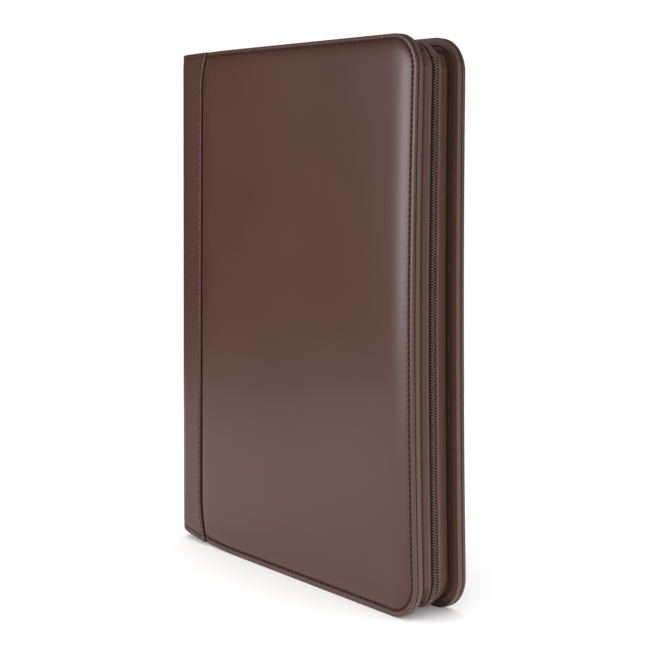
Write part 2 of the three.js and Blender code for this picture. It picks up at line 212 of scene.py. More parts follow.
# %% Sockets that know arithmetic
class Socket:
    """An output socket of a node tree, on which arithmetic adds Math nodes."""

    def __init__(self, net, socket):
        self.net = net
        self.socket = socket

    def __add__(self, other):
        return self.net.math("ADD", self, other)

    def __mul__(self, other):
        return self.net.math("MULTIPLY", self, other)

    __radd__ = __add__
    __rmul__ = __mul__


class Net:
    """A node tree with one method for any node, one for sums and one for colours."""

    def __init__(self, tree):
        self.tree = tree

    def node(self, kind, settings=None, values=None, output=0):
        made = self.tree.nodes.new(kind)
        for title, setting in (settings or {}).items():
            setattr(made, title, setting)
        self.feed(made, values or {})
        return Socket(self, made.outputs[output]) if len(made.outputs) else made

    def feed(self, made, values):
        for key, value in values.items():
            if isinstance(value, Socket):
                self.tree.links.new(value.socket, made.inputs[key])
            else:
                made.inputs[key].default_value = value

    def math(self, operation, *terms):
        return self.node("ShaderNodeMath", {"operation": operation}, dict(enumerate(terms)))

    def colour(self, first, second, share, blend_type="MIX"):
        settings = {"data_type": "RGBA", "blend_type": blend_type}
        return self.node("ShaderNodeMix", settings, {0: share, 6: first, 7: second}, output=2)

    def attribute(self, title):
        return self.node("ShaderNodeAttribute", {"attribute_name": title}, output=2)


print("node helpers ready")

# %% [markdown]
# ## The leather
# Coated leather of this kind is nearly smooth, with a fine pebble grain that only shows as a soft
# break-up of the shine. Its brown is a little uneven over a hand's width, with painted shade down
# in seams and gaps, and paler at rubbed edges and under a painted sheen. The noises read Object
# coordinates, which are metres here, so a scale of 900 means cells of about a millimetre.

# %% Leather material
GRAIN_CELLS, FINE_SCALE, MOTTLE_SCALE = 1150.0, 3800.0, 11.0
MOTTLE_SHARE, PEBBLE_SHARE, RUB_AND_SHEEN_SHARE = 0.75, 0.7, 0.6
MOTTLE_DULLS, GRAIN_DULLS, GROOVE_DULLS, USUAL_DULLING = 0.08, 0.06, 0.15, 0.07
SHEEN_LEVEL = 0.27


def new_material(name):
    """A new material with its net, its shader and the place of each point of the piece."""
    material = bpy.data.materials.new(name)
    material.use_nodes = True
    net = Net(material.node_tree)
    place = net.node("ShaderNodeTexCoord", output=3)
    return material, net, material.node_tree.nodes["Principled BSDF"], place


def relief(net, height, distance):
    return net.node("ShaderNodeBump", {}, {"Height": height, "Distance": distance * MM, "Strength": 1.0})


def leather(name, deep, pale, seam, rubbed_and_sheen, roughness, grain_height, seam_shade):
    """A leather. The four colours are linear: two tones of the hide, its painted shade, and its wear with
    painted sheen.
    """
    material, net, shader, place = new_material(name)
    mottle = net.node("ShaderNodeTexNoise", {}, {"Vector": place, "Scale": MOTTLE_SCALE, "Detail": 3.0})
    pebbles = net.node(
        "ShaderNodeTexVoronoi",
        {"feature": "SMOOTH_F1"},
        {"Vector": place, "Scale": GRAIN_CELLS, "Smoothness": 0.6},
    )
    fine = net.node("ShaderNodeTexNoise", {}, {"Vector": place, "Scale": FINE_SCALE, "Detail": 2.0})
    painted_shade, wear_and_sheen = net.attribute("painted_shade"), net.attribute("wear_and_sheen")
    grain = pebbles * PEBBLE_SHARE + fine * (1 - PEBBLE_SHARE)
    hide = net.colour(deep, pale, mottle * MOTTLE_SHARE + fine * (1 - MOTTLE_SHARE))
    # painted shade: the hide turns towards the seam colour in seams, gaps and pleats and along the foot
    with_painted_shade = net.colour(hide, seam, painted_shade * seam_shade)
    dulling = mottle * MOTTLE_DULLS + grain * GRAIN_DULLS + painted_shade * GROOVE_DULLS
    net.feed(shader, {
        # paler at rubbed edges, with painted sheen on edges, lips and margins
        "Base Color": net.colour(with_painted_shade, rubbed_and_sheen, wear_and_sheen * RUB_AND_SHEEN_SHARE),
        "Roughness": dulling + (roughness - USUAL_DULLING),
        "Normal": relief(net, grain, grain_height),
        "Specular IOR Level": SHEEN_LEVEL,
    })
    return material


# In each leather the seam colour is its painted shade, and the rubbed colour its worn edges with painted
# sheen.
cover_leather = leather(
    "smooth_cover_leather",
    deep=(0.0430, 0.0166, 0.0120, 1), pale=(0.061, 0.0248, 0.0180, 1),
    seam=(0.014, 0.0078, 0.0072, 1), rubbed_and_sheen=(0.15, 0.095, 0.078, 1),
    roughness=0.32, grain_height=0.03, seam_shade=0.5,
)
lining_leather = leather(
    "inner_ply_leather",
    deep=(0.090, 0.047, 0.034, 1), pale=(0.122, 0.065, 0.049, 1),
    seam=(0.016, 0.007, 0.005, 1), rubbed_and_sheen=(0.20, 0.13, 0.11, 1),
    roughness=0.5, grain_height=0.05, seam_shade=0.85,
)
gusset_leather = leather(
    "soft_gusset_leather",
    deep=(0.078, 0.038, 0.028, 1), pale=(0.104, 0.052, 0.040, 1),
    seam=(0.012, 0.005, 0.004, 1), rubbed_and_sheen=(0.19, 0.12, 0.10, 1),
    roughness=0.46, grain_height=0.05, seam_shade=0.9,
)
print("leathers:", [m.name for m in (cover_leather, lining_leather, gusset_leather)])

# %% [markdown]
# ## Cloth, thread, nylon and metal
# The zip's tape is a dark herringbone weave, and from any distance it is a fine ribbing. Thread is
# matte, the coil is satin nylon, and the slider has a thin dark bronze finish over metal.

# %% Materials of the zip and the stitches
PATCHES_DULL = 0.15


def plain_finish(name, first, second, scale, roughness, metallic=0.0, height=0.02, shine=0.5):
    """A material of two close colours in a noise of this scale, with a little relief."""
    material, net, shader, place = new_material(name)
    patches = net.node("ShaderNodeTexNoise", {}, {"Vector": place, "Scale": scale, "Detail": 3.0})
    net.feed(shader, {
        "Base Color": net.colour(first, second, patches),
        "Roughness": patches * PATCHES_DULL + (roughness - USUAL_DULLING),
        "Normal": relief(net, patches, height),
        "Metallic": metallic,
        "Specular IOR Level": shine,
    })
    return material


thread = plain_finish(
    "dark_thread", (0.029, 0.0125, 0.0115, 1), (0.048, 0.022, 0.020, 1), 1800.0, roughness=0.8, shine=0.1
)
zip_nylon = plain_finish(
    "coil_nylon", (0.16, 0.090, 0.086, 1), (0.22, 0.130, 0.125, 1), 400.0, roughness=0.34
)
zip_metal = plain_finish(
    "bronzed_metal", (0.11, 0.085, 0.07, 1), (0.16, 0.13, 0.11, 1), 300.0, roughness=0.36, metallic=0.9
)
zip_cloth = plain_finish(
    "woven_tape", (0.016, 0.009, 0.007, 1), (0.032, 0.02, 0.016, 1), 1500.0, roughness=0.85, height=0.1
)
print("plain finishes:", [m.name for m in (thread, zip_nylon, zip_metal, zip_cloth)])

# %% [markdown]
# ## The outline of a cover
# Both plies of a cover have the same outline: straight at the spine side, round at the two fore
# corners. One function gives that outline at any inset. Its stations always run the same way
# round, so rings of different insets bridge without a twist. Near its ends the spine strip swings
# out over the cover, and whatever lies beside its edge swings with it.

# %% Stations round a cover
RUN_STATIONS, TURN_STATIONS, SIDE_STATIONS, LAP_STATIONS = 256, 36, 350, 110
FLARE_REACH, FLARE_TOP, FLARE_BOTTOM = 6.5, 30.0, 36.0


def strip_flare(z):
    from_top = np.clip(1 - (HEIGHT - z) / FLARE_TOP, 0, None)
    from_bottom = np.clip(1 - z / FLARE_BOTTOM, 0, None)
    return FLARE_REACH * (from_top**2 + from_bottom**2)


def flared(x, z):
    return x + strip_flare(z) * (1 - eased((x - STRIP_EDGE) / (2 * LAP_PAD_ROLL)))


def seam_raised(inset, z):
    """The seam lies a little higher at the foot than it lies in elsewhere."""
    beyond_margin = np.clip(inset / (MARGIN - GROOVE_WIDTH / 2), 0, 1)
    return z + FOOT_SEAM_RISE * beyond_margin * np.clip(1 - z / FOOT_SEAM_REACH, 0, None) ** 2


def cover_ring(inset, lap_side):
    """x and z of the stations: along the bottom, up the fore edge, along the top, down the lap."""
    radius = max(CORNER_RADIUS - inset, TIGHTEST_CORNER)
    centre = FORE_EDGE - inset - radius
    low, high = inset + radius, HEIGHT - inset - radius
    run, side, lap = (np.arange(n) / n for n in (RUN_STATIONS, SIDE_STATIONS, LAP_STATIONS))
    turn = np.arange(TURN_STATIONS) / TURN_STATIONS * np.pi / 2
    legs = [
        (blend(lap_side, centre, run), inset + 0 * run),
        (centre + radius * np.sin(turn), low - radius * np.cos(turn)),
        (FORE_EDGE - inset + 0 * side, blend(low, high, side)),
        (centre + radius * np.cos(turn), high + radius * np.sin(turn)),
        (blend(centre, lap_side, run), HEIGHT - inset + 0 * run),
        (lap_side + 0 * lap, blend(HEIGHT - inset, inset, lap)),
    ]
    x, z = (np.concatenate(part) for part in zip(*legs))
    return flared(x, z), seam_raised(inset, z)


def lengths_along(places):
    """Distance in millimetres from the first place to each, along the line."""
    steps = np.linalg.norm(np.diff(places, axis=0), axis=1)
    return np.concatenate([[0], np.cumsum(steps)]) / MM


print("stations round a cover:", len(cover_ring(0, LAP_EDGE)[0]))

# %% [markdown]
# ## The padded covers
# A cover is board and thin foam under turned-in leather. The stitched groove presses the leather
# down to the board, so the margin outside it is flat and the pad rises from it in a soft shoulder.
# Cloth simulation could blow such a pad up, but foam on board keeps a rule: steep at the seam, flat
# after two centimetres. So the pad is modelled by that rule, with small dimples where each stitch
# pulls.

# %% Where the stitches of a cover go
EDGE_ROUND, THREAD_LIFT = 0.55, 0.2
FREE_STATIONS = 2
free_edge_stations = 2 * RUN_STATIONS + 2 * TURN_STATIONS + SIDE_STATIONS + 1
STITCHED = slice(FREE_STATIONS, free_edge_stations - FREE_STATIONS)
groove_x, groove_z = cover_ring(MARGIN, STRIP_EDGE)


def seam_places(side):
    """The line of the stitches on a cover, in metres. side is -1 for the front and 1 for the back."""
    depth = np.full_like(groove_x, side * (COVER_FACE - GROOVE_DEPTH + THREAD_LIFT))
    return in_place(np.stack([groove_x, depth, groove_z], axis=-1))


def stitch_count(length):
    return round(length / STITCH_PITCH)


def needle_pull(along, pitch):
    """1 at each needle hole and 0 halfway between two."""
    return 0.5 + 0.5 * np.cos(2 * np.pi * along / pitch)


def pull_of_stitches(side):
    """How much each station of a cover is pulled in by its stitches."""
    along = lengths_along(seam_places(side))
    start, end = along[STITCHED][0], along[STITCHED][-1]
    pitch = (end - start) / stitch_count(end - start)
    return np.where((along >= start) & (along <= end), needle_pull(along - start, pitch), 0)


print(f"a cover has {stitch_count(lengths_along(seam_places(-1))[STITCHED][-1])} stitches")

# %% [markdown]
# The rings of the outer ply go from its inner face over the rounded edge, along the margin, down
# and up through the groove and up the shoulder to the flat field. The field is closed by rings
# that shrink towards a line down its middle, and one flat face closes the slot that is left.

# %% The outer plies
HOLE_PULL, SHOULDER_PULL, SHOULDER_CALM, MARGIN_CROWN, MARGIN_SHEEN = 0.22, 0.12, 1.6, 0.1, 0.2
LAP_SEAM_WIDTH, SHADE_WIDTH, SHADE_AT_PAD, GROOVE_SHAPE, PAD_SPREAD = 0.9, 0.6, 0.9, 0.8, 1.7
DARK_BETWEEN_HOLES, DARK_LOST_AT_HOLE = 0.75, 0.45
GAP_DARK, FOOT_SHADE_HEM, FOOT_SHADE_GUSSET = 2.0, 9.0, 20.0
EDGE_STEPS, MARGIN_STEPS, GROOVE_STEPS, PAD_STEPS, FIELD_STEPS = 8, 4, 8, 15, 8
PAD_LATENESS, PAD_STEEPNESS, BACK_STEPS = 0.9, 3, 2
EDGE_FLATNESS, LEFT_OPEN, HEM_FADE, QUIET_SEAM = 0.4, 0.4, 35.0, 0.25


def edge_rows(start, end, gap_at_start):
    """Rows over a turned edge from one face of a ply to the other: inset, depth, painted shade, and
    wear with painted sheen. A painted shade darkens the seam between two plies, on the side where they
    meet."""
    rows = []
    for angle in np.linspace(0, math.pi, EDGE_STEPS + 1):
        bulge = math.sin(angle) ** EDGE_FLATNESS if 0 < angle < math.pi else 0.0
        depth = blend(start, end, 0.5 - 0.5 * math.cos(angle))
        # painted shade in the gap between the two plies
        from_gap = abs(depth - (start if gap_at_start else end))
        in_gap = GAP_DARK * max(0.0, 1 - from_gap / EDGE_ROUND)
        rows.append((EDGE_ROUND * (1 - bulge), depth, in_gap, math.sin(angle)))
    return rows


def foot_shade(z, height):
    """Painted shadow along the foot: full to half this height, and then paling."""
    return np.clip(2 * (height - z) / height, 0, 1)


def seam_dark(x):
    """The painted shade of the seams is faint beside the spine and darkest at the fore edge."""
    return blend(QUIET_SEAM, 1, np.clip((x - LAP_EDGE) / (FORE_EDGE - CORNER_RADIUS - LAP_EDGE), 0, 1))


def pad_rise(share):
    """Steep at the seam and flat at the field."""
    return PAD_RISE * (1 - (1 - share**PAD_LATENESS) ** PAD_STEEPNESS)


def shares(steps):
    """The ends of so many equal steps from 0 to 1."""
    return np.arange(1, steps + 1) / steps


def cover_profile():
    """Rows of inset at the free edges, place at the lap, depth, pull, painted shade, and wear with
    painted sheen.
    """
    rows = []
    lap_seam = LAP_WIDTH - EDGE_ROUND - LAP_SEAM_WIDTH
    for inset, depth, in_gap, rubbed_and_sheen in edge_rows(COVER_BACK, COVER_FACE, gap_at_start=True):
        rows.append((inset, inset, depth, 0, in_gap, rubbed_and_sheen))
    start, end = EDGE_ROUND, MARGIN - GROOVE_WIDTH / 2
    for share in shares(MARGIN_STEPS):
        crown = MARGIN_CROWN * math.sin(math.pi * share)
        place = (blend(start, end, share), blend(start, lap_seam, share))
        # the margin gets a painted sheen, a paler, greyer brown
        rows.append((*place, COVER_FACE + crown, 0, 0, MARGIN_SHEEN))
    for share in shares(GROOVE_STEPS):
        dip = math.sin(math.pi * share) ** GROOVE_SHAPE
        place = (blend(end, end + GROOVE_WIDTH, share), blend(lap_seam, LAP_WIDTH, share))
        # painted shade in the groove, as deep as it dips
        rows.append((*place, COVER_FACE - GROOVE_DEPTH * dip, HOLE_PULL * dip, dip, 0))
    start = MARGIN + GROOVE_WIDTH / 2
    for share in shares(PAD_STEPS) ** PAD_SPREAD:
        pull = SHOULDER_PULL * math.exp(-share * PAD_ROLL / SHOULDER_CALM)
        painted_shade = SHADE_AT_PAD * math.exp(-share * PAD_ROLL / SHADE_WIDTH)
        place = (start + PAD_ROLL * share, LAP_WIDTH + LAP_PAD_ROLL * share)
        rows.append((*place, COVER_FACE + pad_rise(share), pull, painted_shade, 0))
    return rows


def on_middle_line(x, z):
    """The nearest place on the line down the middle of a field that is higher than wide."""
    middle = (x.min() + x.max()) / 2
    half = (x.max() - x.min()) / 2
    return middle + 0 * x, np.clip(z, z.min() + half, z.max() - half)


def closing_rings(x, z, depth, steps):
    """Rings that nearly close the field inside the last ring, in straight-portfolio millimetres."""
    centre_x, centre_z = on_middle_line(x, z)
    inward = np.arange(1, steps + 1)[:, None] / (steps + LEFT_OPEN)
    rings = [blend(x, centre_x, inward), depth + 0 * inward + 0 * x, blend(z, centre_z, inward)]
    return np.stack(rings, axis=-1)


def ply(name, side, lap_side, profile, material, least_depth_at_lap=0.0, foot_shade_beyond=HEIGHT):
    """A ply of a cover from its profile, with both its faces closed. A hem thins out to the least
    depth beside the lap, and beyond an inset a painted shadow darkens the leather along the foot."""
    pull = pull_of_stitches(side)
    stack, painted_shade, wear_and_sheen = [], [], []
    for inset, lap, depth, pulled, shaded, rubbed_and_sheen in profile:
        x, z = cover_ring(inset, lap_side + lap)
        from_lap = np.clip((x - lap_side - lap) / HEM_FADE, 0, 1)
        thinned = blend(max(depth, least_depth_at_lap), depth, from_lap)
        stack.append(np.stack([x, side * (thinned - pulled * pull), z], axis=-1))
        # painted shade in the seams and gaps, less at each needle hole, and painted shadow along the foot
        at_foot = foot_shade(z, FOOT_SHADE_HEM) * (inset >= foot_shade_beyond)
        darkness = (DARK_BETWEEN_HOLES - DARK_LOST_AT_HOLE * pull) * seam_dark(x)
        painted_shade.append(shaded * darkness + at_foot)
        wear_and_sheen.append(rubbed_and_sheen + 0 * pull)
    inner = closing_rings(stack[0][:, 0], stack[0][:, 2], side * profile[0][2], BACK_STEPS)[::-1]
    outer = closing_rings(stack[-1][:, 0], stack[-1][:, 2], side * profile[-1][2], FIELD_STEPS)
    rings = np.concatenate([inner, np.array(stack), outer])
    blank = np.zeros(rings.shape[1])
    painted_shade = [blank] * len(inner) + painted_shade + [blank] * len(outer)
    wear_and_sheen = [blank] * len(inner) + wear_and_sheen + [blank] * len(outer)
    faces = ring_faces(*rings.shape[:2]) + end_faces(*rings.shape[:2])
    return make_mesh(name, in_place(rings), faces, painted_shade, wear_and_sheen, material)


for side, face in ((-1, "front"), (1, "back")):
    cover = ply(f"{face}_cover_padded", side, LAP_EDGE, cover_profile(), cover_leather)
    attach(cover, "root")
    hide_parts(f"{face}_cover")

# %% [markdown]
# ## The inner plies
# Behind each outer ply lies a thinner one, a hair's breadth apart. Its edge is turned in round a
# filler, which leaves a thick hem round the inside, so the two edges show side by side as two
# bands. Along the spine there is no hem, because the ply runs on into the fold of the book.

# %% Inner plies with their hems
HEM_WIDTH, HEM_ROUND, HEM_STEPS = 5.0, 0.6, 5
HEM_SHARES, BEYOND_HEM = (0.2, 0.5, 0.8), (1.5, 5.0, 11.0)
EDGE_RUB_AND_SHEEN, HEM_RUB_AND_SHEEN, HEM_CREASE_SHADE = 0.5, 0.25, 0.5


def lining_profile():
    """Rows of the turned edge, the face of the hem and its wall down to the ply."""
    rows = []
    for inset, depth, in_gap, rubbed_and_sheen in edge_rows(LINING_FACE, HEM_FACE, gap_at_start=True):
        # the turned edge is rubbed, with painted sheen
        rows.append((inset, inset, depth, 0, in_gap, EDGE_RUB_AND_SHEEN * rubbed_and_sheen))
    for share in HEM_SHARES:
        inset = blend(EDGE_ROUND, HEM_WIDTH - HEM_ROUND, share)
        # the hem's face is rubbed near the edge, with painted sheen
        rows.append((inset, inset, HEM_FACE, 0, 0, HEM_RUB_AND_SHEEN * (1 - share)))
    for angle in np.linspace(0, math.pi / 2, HEM_STEPS):
        inset = HEM_WIDTH - HEM_ROUND * (1 - math.sin(angle))
        rows.append((inset, inset, HEM_FACE + HEM_ROUND * (1 - math.cos(angle)), 0, 0, 0))
    # painted shade in the crease where the hem's wall meets the ply
    rows.append((HEM_WIDTH, HEM_WIDTH, LINING_BACK, 0, HEM_CREASE_SHADE, 0))
    for beyond in BEYOND_HEM:
        rows.append((HEM_WIDTH + beyond, HEM_WIDTH + beyond, LINING_BACK, 0, 0, 0))
    return rows


for side, face in ((-1, "front"), (1, "back")):
    lining = ply(
        f"{face}_inner_ply", side, BEND_START, lining_profile(), lining_leather,
        least_depth_at_lap=LINING_BACK, foot_shade_beyond=EDGE_ROUND,
    )
    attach(lining, "root")
    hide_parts(f"{face}_lining")

# %% [markdown]
# ## The spine strip
# One strip of leather wraps round the spine and laps on to both covers. Its long edges are turned
# under, so they are round and a little proud, with a row of fine stitches a millimetre in. Its ends
# are skived thin and stitched down in line with the seams of the covers. The section is the same
# all the way up but for the flare of its edges, so the strip is a stack of sections.

# %% The spine strip
SEAM_FROM_EDGE, DENT_WIDTH, DENT, DENT_AT_HOLE, DENT_SHADE = 1.1, 0.35, 0.16, 0.14, 0.5
NOSE_WIDTH, NOSE_DROP, NOSE_LIFT = 0.7, 0.7, 0.35
TURNED_RISE, TURNED_WIDTH, TURNED_SLOPE, FLARED_WIDTH = 0.18, 2.4, 1.2, 3.0
SKIVE, END_ROLL, ROWS_A_STITCH = 0.25, 6.0, 3
LAP_SPREAD = (0, 0.12, 0.35, 0.7, 1.1, 1.5, 1.8, 2.0, 2.2, 2.5, 3.0, 4.0, 6.0, 9.0, 12.0, 15.0)
BEFORE_SEAM, SEAM_ROWS, AFTER_SEAM = (0, 0.12, 0.3, EDGE_ROUND, 1.2, 1.7), 7, (4.6, 5.6)
BEND_STEPS = 20


def end_sink(up):
    """How far the strip's face lies below its full height, this far from one of its ends."""
    rounding = EDGE_ROUND * (1 - np.sqrt(np.clip(1 - (1 - np.clip(up / EDGE_ROUND, 0, 1)) ** 2, 0, 1)))
    skived = SKIVE * (1 - eased((up - MARGIN) / END_ROLL))
    return rounding + skived + GROOVE_DEPTH * in_groove(up)


def in_groove(up):
    """1 on the seam near an end of the strip, and 0 a groove's half width away."""
    return np.clip(1 - np.abs(up - MARGIN) / (GROOVE_WIDTH / 2), 0, 1) ** GROOVE_SHAPE


def strip_half(z, up, pull, outside):
    """Half a section from the free edge to the middle of the spine: x, depth, painted shade, and wear
    with painted sheen.
    """
    edge = STRIP_EDGE + strip_flare(z)
    from_edge = np.array(LAP_SPREAD)
    nose = np.clip(1 - from_edge / NOSE_WIDTH, 0, 1) ** 2
    to_bend = (from_edge - FLARED_WIDTH) / (LAP_SPREAD[-1] - FLARED_WIDTH)
    unflared = blend(edge - FLARED_WIDTH, BEND_START, to_bend)
    lap_x = np.where(to_bend <= 0, edge - from_edge, unflared)
    seam = np.exp(-(((from_edge - SEAM_FROM_EDGE) / DENT_WIDTH) ** 2))
    turned = TURNED_RISE * eased((TURNED_WIDTH - from_edge) / TURNED_SLOPE)
    angles = np.arange(1, BEND_STEPS + 1) / BEND_STEPS * np.pi / 2
    sink = end_sink(up) if outside else 0.0
    radius = SPINE_RADIUS - sink if outside else SPINE_RADIUS - STRIP_PLY
    face = STRIP_FACE - sink if outside else STRIP_BACK
    relief_outside = turned - (DENT + DENT_AT_HOLE * pull) * seam - NOSE_DROP * nose
    lap_depth = face + (relief_outside if outside else NOSE_LIFT * nose)
    x = np.concatenate([lap_x, BEND_START - radius * np.sin(angles)])
    depth = np.concatenate([lap_depth, face - radius + radius * np.cos(angles)])
    # painted shade beside the stitches of the turned edge and in the seams across the ends
    painted_dark = np.concatenate([DENT_SHADE * seam, 0 * angles]) + QUIET_SEAM * in_groove(up)
    # the rounded nose is rubbed, with painted sheen
    rub_and_sheen = np.concatenate([nose, 0 * angles])
    return x, depth, outside * np.clip(painted_dark, 0, 1), outside * rub_and_sheen


def strip_section(z, up, pull):
    """The closed plan section at one height, this far up from the nearer end before the seam is
    raised. Its outer and its inner side have as many points."""
    sides = []
    for outside in (True, False):
        x, depth, painted_dark, rub_and_sheen = strip_half(z, up, pull, outside)
        front = np.stack([x, -depth, 0 * x + z, painted_dark, rub_and_sheen], axis=-1)
        back = np.stack([x, depth, 0 * x + z, painted_dark, rub_and_sheen], axis=-1)[-2::-1]
        sides.append(np.concatenate([front, back]))
    return np.concatenate([sides[0], sides[1][::-1]])


strip_rise = HEIGHT / round(HEIGHT / STITCH_PITCH)
seam_steps = MARGIN + GROOVE_WIDTH / 2 * np.linspace(-1, 1, SEAM_ROWS)
ends = np.concatenate([BEFORE_SEAM, seam_steps, AFTER_SEAM])
row_rise = strip_rise / ROWS_A_STITCH
first_row = seam_raised(ends[-1], ends[-1]) + row_rise
middle_rows = np.arange(first_row, HEIGHT - ends[-1] - row_rise / 2, row_rise)
strip_rows = np.concatenate([seam_raised(ends, ends), middle_rows, HEIGHT - ends[::-1]])
from_end = np.concatenate([ends, np.minimum(middle_rows, HEIGHT - middle_rows), ends[::-1]])
sections = np.array([
    strip_section(z, up, needle_pull(z, strip_rise)) for z, up in zip(strip_rows, from_end)
])
around = sections.shape[1]
end_caps = []
for ring in (0, len(sections) - 1):
    for i in range(around // 2 - 1):
        corners = [ring * around + k for k in (i, i + 1, around - 2 - i, around - 1 - i)]
        end_caps.append(corners if ring else corners[::-1])
strip_places = in_place(sections[..., :3])
strip_faces = ring_faces(*sections.shape[:2]) + end_caps
strip_painted_shade, strip_wear_and_sheen = sections[..., 3], sections[..., 4]
spine_strip = make_mesh(
    "spine_strip", strip_places, strip_faces, strip_painted_shade, strip_wear_and_sheen, cover_leather
)
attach(spine_strip, "root")
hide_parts("spine")

# %% [markdown]
# ## The way round the zip
# The gussets, the tapes and the coil all run the same way: along the top from the spine, down the
# fore edge and back along the bottom. One function gives that way for any inset from the edges, so
# each of these pieces is a section swept along it.

# %% Stations of the zip's way
ZIP_RUN, ZIP_TURN, ZIP_SIDE = 80, 56, 100
HOLLOW_FACETS = 8
zip_stations = (ZIP_RUN, ZIP_TURN, ZIP_SIDE, ZIP_TURN, ZIP_RUN)
zip_leg = np.append(np.repeat(range(5), zip_stations), 4)
zip_share = np.append(np.concatenate([np.arange(n) / n for n in zip_stations]), 1.0)
quarter = np.select([zip_leg == 1, zip_leg == 3], [zip_share, 1 - zip_share], -1.0)


def spine_inside(depth):
    """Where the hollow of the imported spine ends, this far from the middle plane. Its half round has
    flat facets, and the middle of a facet lies nearest."""
    radius = (SPINE_RADIUS - STRIP_PLY) * math.cos(math.pi / HOLLOW_FACETS / 2)
    beyond_flat = max(0.0, depth - (STRIP_BACK - radius))
    return BEND_START - math.sqrt(max(0.0, radius**2 - beyond_flat**2))


def zip_way(inset, depth, start_gap):
    """x and z of the stations at this inset, which may differ from station to station."""
    radius = np.maximum(CORNER_RADIUS - inset, TIGHTEST_CORNER)
    start = spine_inside(abs(depth)) + start_gap
    centre = FORE_EDGE - inset - radius
    low, high = inset + radius, HEIGHT - inset - radius
    angle = quarter * np.pi / 2
    on_run = [zip_leg == 0, zip_leg == 4]
    on_turn = [zip_leg == 1, zip_leg == 3]
    to_fore, to_spine = blend(start, centre, zip_share), blend(centre, start, zip_share)
    turn_x = centre + radius * np.sin(angle)
    x = np.select(on_run + on_turn, [to_fore, to_spine, turn_x, turn_x], FORE_EDGE - inset)
    turn_z = [high + radius * np.cos(angle), low - radius * np.cos(angle)]
    z = np.select(on_run + on_turn, [HEIGHT - inset, inset + 0 * x, *turn_z], blend(high, low, zip_share))
    return x, z


print("stations of the zip's way:", len(zip_leg))

# %% [markdown]
# ## The gussets
# A strip of leather on each side of the zip folds out of the gap behind the cover and ends in a
# turned lip beside the teeth. In the round corners it has too much length, which is taken up in
# small pleats, each with a soft side and a sharp ledge. Painted shade darkens the leather down in
# the pleats and where it dives behind the covers, a painted shadow darkens it along the foot, and
# the lip is rubbed, with painted sheen. The section is drawn once as a line and given its
# thickness, and the pleats push its stations inwards.

# %% The gussets, swept with pleats at the corners
GUSSET_PLY, RECESS_DEPTH, SEAM_ALLOWANCE = 1.2, 15.0, 7.0
FOLD_INSET, FOLD_DEPTH, LIP_INSET, LIP_DEPTH = 7.2, 10.6, 5.6, 3.3
ROOT_DEPTH = LINING_BACK - CLEARANCE - GUSSET_PLY / 2
TAPE_PLY = 0.8
TAPE_STEP = GUSSET_PLY / 2 + CLEARANCE + TAPE_PLY / 2
PLEAT_ROOT = FOLD_INSET + TAPE_STEP + TAPE_PLY
PLEATS = ((0.14, 1.6, 0.12), (0.48, 4.6, 0.26), (0.86, 0.35, 0.1))
LEDGE, LIP_SOFTNESS, LIP_RUB_AND_SHEEN = 0.22, 1.6, 0.9
DARK_FROM, DARK_WITHIN, DARK_BEHIND = {-1: 7.0, 1: 10.0}, 0.9, 0.8
DEEPEST_PLEAT = max(depth for _, depth, _ in PLEATS)
WALL_SHARES, LEATHER_SHARES, ROUNDNESS = ((0.3, 0.2), (0.85, 0.75)), (0.05, 0.3, 0.62), 1.6


def visible_leather(last_share):
    """Places of inset and depth from the fold to the lip, up to this share of the way."""
    share = np.array([*LEATHER_SHARES, last_share])
    inset = blend(FOLD_INSET, LIP_INSET, 1 - (1 - share) ** ROUNDNESS)
    return np.stack([inset, blend(FOLD_DEPTH, LIP_DEPTH, share)], axis=-1)


hidden_wall = [[RECESS_DEPTH + SEAM_ALLOWANCE, ROOT_DEPTH], [RECESS_DEPTH, ROOT_DEPTH]]
for inward, across in WALL_SHARES:
    hidden_wall.append([blend(RECESS_DEPTH, FOLD_INSET, inward), blend(ROOT_DEPTH, FOLD_DEPTH, across)])
gusset_line = np.concatenate([hidden_wall, visible_leather(1.0)])


def curve_through(points, steps):
    """A smooth curve through the points, with so many steps between two of them."""
    before = np.vstack([2 * points[0] - points[1], points[:-2], points[-2]])[: len(points) - 1]
    after = np.vstack([points[2:], 2 * points[-1] - points[-2]])
    start, end = points[:-1], points[1:]
    curve = []
    for t in np.arange(steps) / steps:
        bend = (2 * before - 5 * start + 4 * end - after) * t**2
        twist = (3 * start - before - 3 * end + after) * t**3
        curve.append(start + 0.5 * ((end - before) * t + bend + twist))
    return np.vstack([np.stack(curve, axis=1).reshape(-1, 2), points[-1]])


def wall_section(line, thickness, nose_steps):
    """A closed outline round a line of (inset, depth), with a round nose at its last place."""
    along = np.gradient(line, axis=0)
    along /= np.linalg.norm(along, axis=1)[:, None]
    across = np.stack([-along[:, 1], along[:, 0]], axis=-1) * thickness / 2
    angles = np.arange(1, nose_steps) / nose_steps * np.pi
    outward = along[-1] * thickness / 2
    nose = line[-1] + np.cos(angles)[:, None] * across[-1] + np.sin(angles)[:, None] * outward
    return np.vstack([line + across, nose, (line - across)[::-1]])


def pleat_depth():
    """How far each station is pushed in at the corners, in millimetres."""
    depths = []
    for turn, depth, reach in PLEATS:
        beyond = (quarter - turn) / reach
        nearness = 1 - np.where(beyond < 0, -beyond, beyond / LEDGE)
        depths.append(depth * np.clip(nearness, 0, 1) ** 1.5 * (quarter >= 0))
    return np.max(depths, axis=0)


